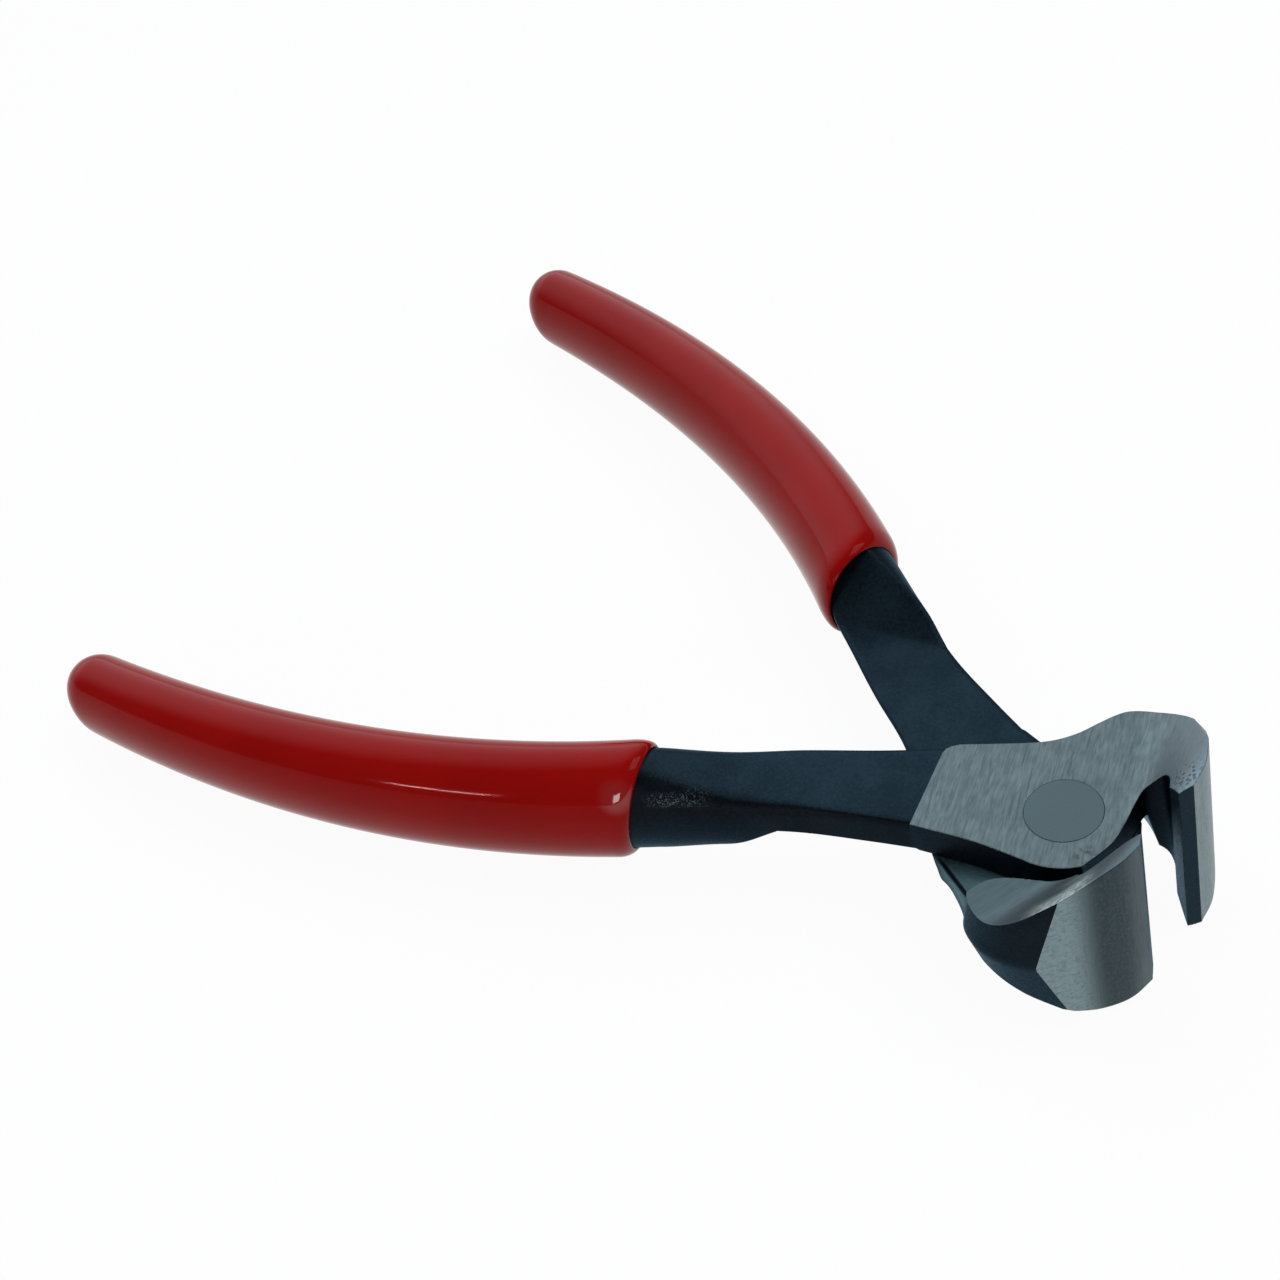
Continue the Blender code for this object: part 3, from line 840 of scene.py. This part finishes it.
def flare_height(sizes, turn, jaw_reach):
    """Height of the head from its middle on the level line at this turn from the cutting edge."""
    share = min(max(turn / sizes.flare_sweep, 0.0), 1.0)
    return sizes.half_joint + (jaw_reach - sizes.half_joint) * (0.5 + 0.5 * math.cos(math.pi * share))


def flare_cutter(sizes, side, jaw_reach, finish):
    """Everything above the flared top face, or below the bottom one, out to the jaw's reach at its edge."""
    rings = []
    turns = [sizes.flare_sweep * k / FLARE_STEPS for k in range(FLARE_STEPS + 1)]
    for turn in [FLARE_LIMITS[0]] + turns + [FLARE_LIMITS[1]]:
        heading = Vector((-math.sin(turn), math.cos(turn)))
        line = [Vector(FLARE_AXIS) + heading * reach for reach in FLARE_REACH]
        ring = [(p.x, p.y, flare_height(sizes, turn, jaw_reach) * side) for p in line]
        ring += [(p.x, p.y, 2 * BLANK_HALF * side) for p in (line[-1], line[0])]
        rings.append(ring)
    return loft("flare", rings, finish)


def end_face_cutter(sizes, finish):
    """Space in front of the rounded end face, which starts where the outside bevel ends."""
    start = edge_point(sizes) + bevel_direction(sizes) * sizes.bevel_width
    face = [start - Vector((0.0, sizes.bevel_width))] + spline((tuple(start),) + END_FACE, OUTLINE_STEPS)
    outline = face + [Vector(p) for p in END_FACE_CLEAR]
    return prism("end_face", outline, -2 * BLANK_HALF, 2 * BLANK_HALF, finish)


def corner_cutter(cut, finish):
    """Small block that knocks off the corner where the flare, the wall and the end face meet."""
    facing = Vector(CORNER_FACING).normalized()
    across = facing.orthogonal().normalized() * CORNER_REACH
    along = facing.cross(across)
    rings = []
    for lift in (-cut, CORNER_REACH):
        middle = Vector(CORNER) + facing * lift
        rings.append([middle + across, middle + along, middle - across, middle - along])
    return loft("corner", rings, finish)


def section(centre, across, widths, half_height, squareness, drafts=(0.0, 0.0)):
    """Ring of a superellipse section. Across is level and points to the inner side.

    Widths and drafts are given for the inner and the outer side; the draft makes a ridge at mid height.
    """
    ring = []
    power = 2 / squareness
    for k in range(SECTION_POINTS):
        angle = 2 * math.pi * k / SECTION_POINTS
        c, s = math.cos(angle), math.sin(angle)
        side = 0 if c > 0 else 1
        share = math.copysign(abs(c) ** power, c)
        tall = math.copysign(abs(s) ** power, s)
        wide = share * (widths[side] + drafts[side] * (1 - abs(tall)))
        spot = centre + across * wide
        ring.append((spot.x, spot.y, tall * half_height))
    return ring


def handle_point(s):
    a, b, c, d = (Vector(p) for p in HANDLE)
    r = 1 - s
    return a * r**3 + b * (3 * r * r * s) + c * (3 * r * s * s) + d * s**3


def handle_heading(s):
    a, b, c, d = (Vector(p) for p in HANDLE)
    r = 1 - s
    return ((b - a) * (r * r) + (c - b) * (2 * r * s) + (d - c) * (s * s)).normalized()


def left_of(heading):
    return Vector((-heading.y, heading.x))


def grip_half_width(sizes, s):
    return sizes.half_width - sizes.taper * (EARLY_TAPER * s + (1 - EARLY_TAPER) * s * s)


def handle_section(sizes, s, inset, scale=1.0):
    """Section of the handle, inset from the grip's outside."""
    wide = grip_half_width(sizes, s)
    inner = -left_of(handle_heading(s))
    half = (wide - inset) * scale
    tall = (wide * sizes.height_ratio - inset) * scale
    return section(handle_point(s), inner, (half, half), tall, GRIP_SQUARENESS)


def sleeve_section(sizes, s, inset, mouth):
    """Section of the handle slid along it, so that near the mouth it lies in the plane of the dip."""
    shift, inner_lean, top_lean = mouth
    heading = handle_heading(s)
    centre = handle_point(s)
    fade = max(0.0, 1 - s / MOUTH_FADE) ** 2
    ring = []
    for x, y, z in handle_section(sizes, s, inset):
        inner = (Vector((x, y)) - centre).dot(-left_of(heading)) / sizes.half_width
        top = z / (sizes.half_width * sizes.height_ratio)
        slide = heading * (-fade * (shift + inner_lean * inner + top_lean * top))
        ring.append((x + slide.x, y + slide.y, z))
    return ring


def shank_and_tang(grip, finish):
    """Flat shank that swells into the oval tang inside the grip."""
    inset = grip.wall + grip.gap
    mouth = handle_point(0)
    wide = grip_half_width(grip, 0)
    rows = [(*sizes, squareness) for sizes, squareness in zip(SHANK_SIZES, SHANK_SQUARENESS)]
    tall = wide * grip.height_ratio - inset
    rows.append((mouth.x, mouth.y, wide - inset, wide - inset, tall, 0.0, 0.0, GRIP_SQUARENESS))
    rows = spline(rows, SHANK_STEPS)
    rings = []
    for k, row in enumerate(rows[:-1]):
        ahead = Vector(rows[k + 1][:2]) - Vector(rows[max(k - 1, 0)][:2])
        inner = -left_of(ahead.normalized())
        rings.append(section(Vector(row[:2]), inner, row[2:4], row[4], row[7], row[5:7]))
    rings += [handle_section(grip, TANG_END * k / TANG_RINGS, inset) for k in range(TANG_RINGS + 1)]
    return loft("shank", rings, finish)


def lap_outline(sizes, depth):
    """Outline of the lap recess at this depth below the lap face."""
    line = Vector((math.cos(RAMP_HEADING), math.sin(RAMP_HEADING)))
    foot = Vector(RAMP_FOOT) - left_of(line) * (depth / RAMP_SLOPE)
    back, ahead = RAMP_RUN
    outline = [foot - line * back, foot + line * ahead, Vector(LAP_FRONT)]
    outline += arc(sizes.shoulder_radius + SHOULDER_DRAFT * depth, *SHOULDER_SWEEP, SHOULDER_STEPS)
    heel = spline((tuple(outline[-1]),) + SHOULDER_HEEL, OUTLINE_STEPS)
    return outline + heel[1:] + [Vector(p) for p in LAP_BACK]


def lap_cutter(sizes, finish):
    """Half of the joint that makes room for the other lever: round shoulder at the jaw, ramp at the tang."""
    levels = ((-LAP_DEPTH, LAP_DEPTH), (sizes.lap_gap / 2, -sizes.lap_gap / 2))
    rings = [[(p.x, p.y, z) for p in lap_outline(sizes, depth)] for z, depth in levels]
    return loft("lap", rings, finish)


def turned(name, profile, finish):
    """Solid of revolution about the pivot from radius and height pairs, bottom to top."""
    rings = []
    for radius, z in profile:
        rings.append([(p.x, p.y, z) for p in circle(radius, ROUND_STEPS)])
    return loft(name, rings, finish)


def rivet_profile(sizes, clearance, half_length):
    flank = (sizes.radius - sizes.shank_radius) / sizes.countersink
    wide = sizes.radius + clearance + flank * (half_length - HALF_JOINT)
    slim = sizes.shank_radius + clearance
    seat = HALF_JOINT - sizes.countersink
    return ((wide, -half_length), (slim, -seat), (slim, seat), (wide, half_length))


def lever_mesh(settings, side, finishes):
    """One lever: the forged blank cut by the flares, the end face, the lap and the rivet's hole."""
    sizes = settings.lever
    black, ground, end, lap = finishes
    lever = head_blank(sizes, WEB_SHARES[side], black)
    combine(lever, flare_cutter(sizes, 1, sizes.jaw_top, ground), "DIFFERENCE")
    combine(lever, flare_cutter(sizes, -1, sizes.jaw_bottom, ground), "DIFFERENCE")
    combine(lever, end_face_cutter(sizes, end), "DIFFERENCE")
    combine(lever, corner_cutter(CORNER_CUTS[side], ground), "DIFFERENCE")
    combine(lever, shank_and_tang(settings.grip, black), "UNION")
    combine(lever, lap_cutter(sizes, lap), "DIFFERENCE")
    hole = rivet_profile(settings.rivet, settings.rivet.clearance, HALF_JOINT + HOLE_OVERRUN)
    combine(lever, turned("rivet_hole", hole, lap), "DIFFERENCE")
    return taken_mesh(lever)


def grip_mesh(sizes, mouth, finish):
    """Dipped sleeve: rounded mouth, tapered curved outside, round closed tip, bore over the tang."""
    lip = sizes.lip / HANDLE_LENGTH
    rings = []
    for k in range(TANG_RINGS, -1, -1):
        rings.append(sleeve_section(sizes, BORE_END * k / TANG_RINGS, sizes.wall, mouth))
    for k in range(1, LIP_RINGS + 1):
        turn = math.pi / 2 * k / LIP_RINGS
        inset = sizes.wall * (1 - math.sin(turn))
        rings.append(sleeve_section(sizes, lip * (1 - math.cos(turn)), inset, mouth))
    for k in range(1, GRIP_RINGS + 1):
        rings.append(sleeve_section(sizes, lip + (TIP_START - lip) * k / GRIP_RINGS, 0.0, mouth))
    for k in range(1, TIP_RINGS + 1):
        turn = TIP_SWEEP * k / TIP_RINGS
        s = TIP_START + (TIP_END - TIP_START) * math.sin(turn)
        rings.append(handle_section(sizes, s, 0.0, scale=math.cos(turn)))
    return taken_mesh(loft("sleeve", rings, finish))


def place_piece(name, mesh, body, node, over=False):
    """A piece in the frame, on its body, standing for its CAD node; over turns it about the tool's length."""
    piece = add_object(name, mesh)
    piece.matrix_world = Matrix.Translation(PIVOT) @ Matrix.Rotation(math.pi if over else 0.0, 4, "X")
    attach(piece, body)
    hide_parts(node)


class PLIERS_OT_levers(Operator):
    """Draw the two forged levers"""

    bl_idname = "pliers.levers"
    bl_label = "Levers"

    def execute(self, context):
        settings = context.scene.pliers
        black, ground, lap = (make(settings.colours) for make in (forged_black, ground_joint, milled_lap))
        for side, over in (("upper", False), ("lower", True)):
            # Each lever's end face has its own strength of painted shade
            end = ground_end(settings.colours, END_PAINTED_SHADES[side])
            mesh = lever_mesh(settings, side, (black, ground, end, lap))
            place_piece(f"forged_lever_{side}", mesh, f"{side}_body", f"{side}_lever", over)
        return {"FINISHED"}


class PLIERS_OT_rivet(Operator):
    """Draw the flush rivet"""

    bl_idname = "pliers.rivet"
    bl_label = "Rivet"

    def execute(self, context):
        settings = context.scene.pliers
        profile = rivet_profile(settings.rivet, 0.0, HALF_JOINT)
        mesh = taken_mesh(turned("rivet", profile, ground_rivet(settings.colours)))
        place_piece("flush_rivet", mesh, "upper_body", "pivot_rivet")
        return {"FINISHED"}


class PLIERS_OT_grips(Operator):
    """Draw the two dipped grips"""

    bl_idname = "pliers.grips"
    bl_label = "Grips"

    def execute(self, context):
        settings = context.scene.pliers
        vinyl = dipped_vinyl(settings.colours)
        for side, over in (("upper", False), ("lower", True)):
            mesh = grip_mesh(settings.grip, MOUTHS[side], vinyl)
            place_piece(f"dipped_grip_{side}", mesh, f"{side}_body", f"{side}_grip", over)
        return {"FINISHED"}


FLOOR_RADIUS = 2.0
FLOOR_STEPS = 96
RIM_RADIUS = 2.5
RIM_HEIGHT = 0.35
FLOOR_CLEARANCE = 0.05 * MM
TIP_RISE = 2.0 * MM
WHITE_SHARE = 0.95
KEY_DIRECTION = (math.radians(-112), math.radians(29))
KEY_EDGE = math.radians(56)
KEY_CORE = math.radians(20)
KEY_COLOUR = (0.88, 0.94, 1.0, 1.0)
AMBIENT_COLOUR = (0.9, 0.96, 1.0, 1.0)
FILL_DIRECTION = (math.radians(132), math.radians(55))
FILL_DISTANCE = 0.9
FILL_SIZE = (0.6, 0.6)
STRIP_DIRECTION = (math.radians(-6), math.radians(20))
STRIP_DISTANCE = 0.6
STRIP_SIZE = (0.13, 0.01)
GLINT_DIRECTION = (math.radians(33), math.radians(17))
GLINT_DISTANCE = 0.6
GLINT_SIZE = (0.17, 0.15)
CLIP_START = 0.01


def direction(azimuth, elevation):
    """Unit vector towards an azimuth, 0 at -Y and a quarter turn at +X, and an elevation."""
    level = math.cos(elevation)
    return Vector((math.sin(azimuth) * level, -math.cos(azimuth) * level, math.sin(elevation)))


def floor_finish(colours):
    """Pale floor that cameras and mirrors see part way to white, with the shadow kept."""
    material = bpy.data.materials.new("pale_floor")
    material.use_nodes = True
    finish = Finish(material.node_tree)
    nodes = material.node_tree.nodes
    nodes.remove(nodes["Principled BSDF"])
    matt = finish.node("ShaderNodeBsdfDiffuse", {}, {"Color": (*colours.floor, 1.0)})
    glow = finish.node("ShaderNodeEmission", {}, {"Color": (1.0, 1.0, 1.0, 1.0), "Strength": 1.0})
    kinds = ("Camera", "Glossy", "Transmission")
    rays = [finish.node("ShaderNodeLightPath", {}, {}, f"Is {kind} Ray") for kind in kinds]
    seen = rays[0]
    for ray in rays[1:]:
        seen = seen.math("MAXIMUM", seen, ray)
    both = finish.node("ShaderNodeMixShader", {}, {0: WHITE_SHARE * seen, 1: matt, 2: glow})
    finish.feed(nodes["Material Output"], "Surface", both)
    return material


def floor_matrix():
    """The floor touches the lower corners of the jaws and the lower side of the grips' tips."""
    jaw = Vector((LEVER_HIGH.x, 0.0, LEVER_LOW.z))
    grip_low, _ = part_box("upper_grip")
    tilt = math.atan2(grip_low.z + TIP_RISE - jaw.z, jaw.x - grip_low.x)
    return Matrix.Translation(jaw - Vector((0, 0, FLOOR_CLEARANCE))) @ Matrix.Rotation(tilt, 4, "Y")


def add_floor(colours):
    """Round floor with a low raised rim that hides the horizon."""
    shape = bmesh.new()
    centre = shape.verts.new((0, 0, 0))
    rings = []
    for radius, height in ((FLOOR_RADIUS, 0.0), (RIM_RADIUS, RIM_HEIGHT / 4), (RIM_RADIUS, RIM_HEIGHT)):
        rings.append([shape.verts.new((p.x, p.y, height)) for p in circle(radius, FLOOR_STEPS)])
    for k in range(FLOOR_STEPS):
        n = (k + 1) % FLOOR_STEPS
        shape.faces.new((centre, rings[0][k], rings[0][n]))
        for low, high in zip(rings, rings[1:]):
            shape.faces.new((low[k], high[k], high[n], low[n]))
    mesh = bpy.data.meshes.new("floor")
    shape.to_mesh(mesh)
    shape.free()
    mesh.materials.append(floor_finish(colours))
    floor = add_object("floor", mesh)
    floor.matrix_world = floor_matrix()


def add_lamp(name, towards, distance, size, power, aim):
    lamp = bpy.data.lights.new(name, "AREA")
    lamp.shape = "RECTANGLE"
    lamp.size, lamp.size_y = size
    lamp.energy = power
    holder = add_object(name, lamp)
    out = direction(*towards)
    holder.location = aim + out * distance
    holder.rotation_mode = "QUATERNION"
    holder.rotation_quaternion = (-out).to_track_quat("-Z", "Y")


def add_world(stage):
    """Even light from all round, with a broad soft-edged glow behind the tool."""
    world = bpy.data.worlds.new("studio")
    world.use_nodes = True
    finish = Finish(world.node_tree)
    nodes = world.node_tree.nodes
    nodes.remove(nodes["Background"])
    even = finish.node("ShaderNodeBackground", {}, {"Color": AMBIENT_COLOUR, "Strength": stage.ambient})
    glow = finish.node("ShaderNodeBackground", {}, {"Color": KEY_COLOUR, "Strength": stage.key_level})
    view = finish.node("ShaderNodeTexCoord", {}, {}, "Generated")
    middle = tuple(direction(*KEY_DIRECTION))
    inside = finish.vector("DOT_PRODUCT", view, middle, "Value")
    share = finish.rise(inside, math.cos(KEY_EDGE), math.cos(KEY_CORE))
    both = finish.node("ShaderNodeMixShader", {}, {0: share, 1: even, 2: glow})
    finish.feed(nodes["World Output"], "Surface", both)
    bpy.context.scene.world = world


def add_camera(stage):
    camera = bpy.data.cameras.new("camera")
    camera.lens = stage.lens
    camera.clip_start = CLIP_START
    holder = add_object("camera", camera)
    back = direction(stage.azimuth, stage.elevation)
    upright = (-back).to_track_quat("-Z", "Y").to_matrix().to_4x4()
    roll = Matrix.Rotation(stage.roll, 4, "Z")
    holder.matrix_world = Matrix.Translation(stage.camera_place) @ upright @ roll
    bpy.context.scene.camera = holder


class PLIERS_OT_stage(Operator):
    """Set the floor, lamps and camera"""

    bl_idname = "pliers.stage"
    bl_label = "Stage"

    def execute(self, context):
        settings = context.scene.pliers
        stage = settings.stage
        low, high = CAD_BOX
        aim = (low + high) / 2
        add_floor(settings.colours)
        add_lamp("fill", FILL_DIRECTION, FILL_DISTANCE, FILL_SIZE, stage.fill_power, aim)
        add_lamp("strip", STRIP_DIRECTION, STRIP_DISTANCE, STRIP_SIZE, stage.strip_power, aim)
        add_lamp("glint", GLINT_DIRECTION, GLINT_DISTANCE, GLINT_SIZE, stage.glint_power, aim)
        add_world(stage)
        add_camera(stage)
        context.scene.view_settings.view_transform = "Standard"
        return {"FINISHED"}


class PLIERS_PT_sidebar(Panel):
    """Buttons that draw the pieces"""

    bl_label = "Nail Puller Pliers"
    bl_space_type = "VIEW_3D"
    bl_region_type = "UI"
    bl_category = "Pliers"

    def draw(self, context):
        for operator in OPERATORS:
            self.layout.operator(operator.bl_idname)


GROUPS = (LeverSizes, RivetSizes, GripSizes, Colours, StageSizes, PliersSettings)
OPERATORS = (PLIERS_OT_levers, PLIERS_OT_rivet, PLIERS_OT_grips, PLIERS_OT_stage)
CLASSES = GROUPS + OPERATORS + (PLIERS_PT_sidebar,)


def register():
    for made in CLASSES:
        bpy.utils.register_class(made)
    bpy.types.Scene.pliers = PointerProperty(type=PliersSettings)


def unregister():
    del bpy.types.Scene.pliers
    for made in reversed(CLASSES):
        bpy.utils.unregister_class(made)


def main():
    register()
    bpy.ops.pliers.levers()
    bpy.ops.pliers.rivet()
    bpy.ops.pliers.grips()
    bpy.ops.pliers.stage()


if __name__ == "__main__":
    main()
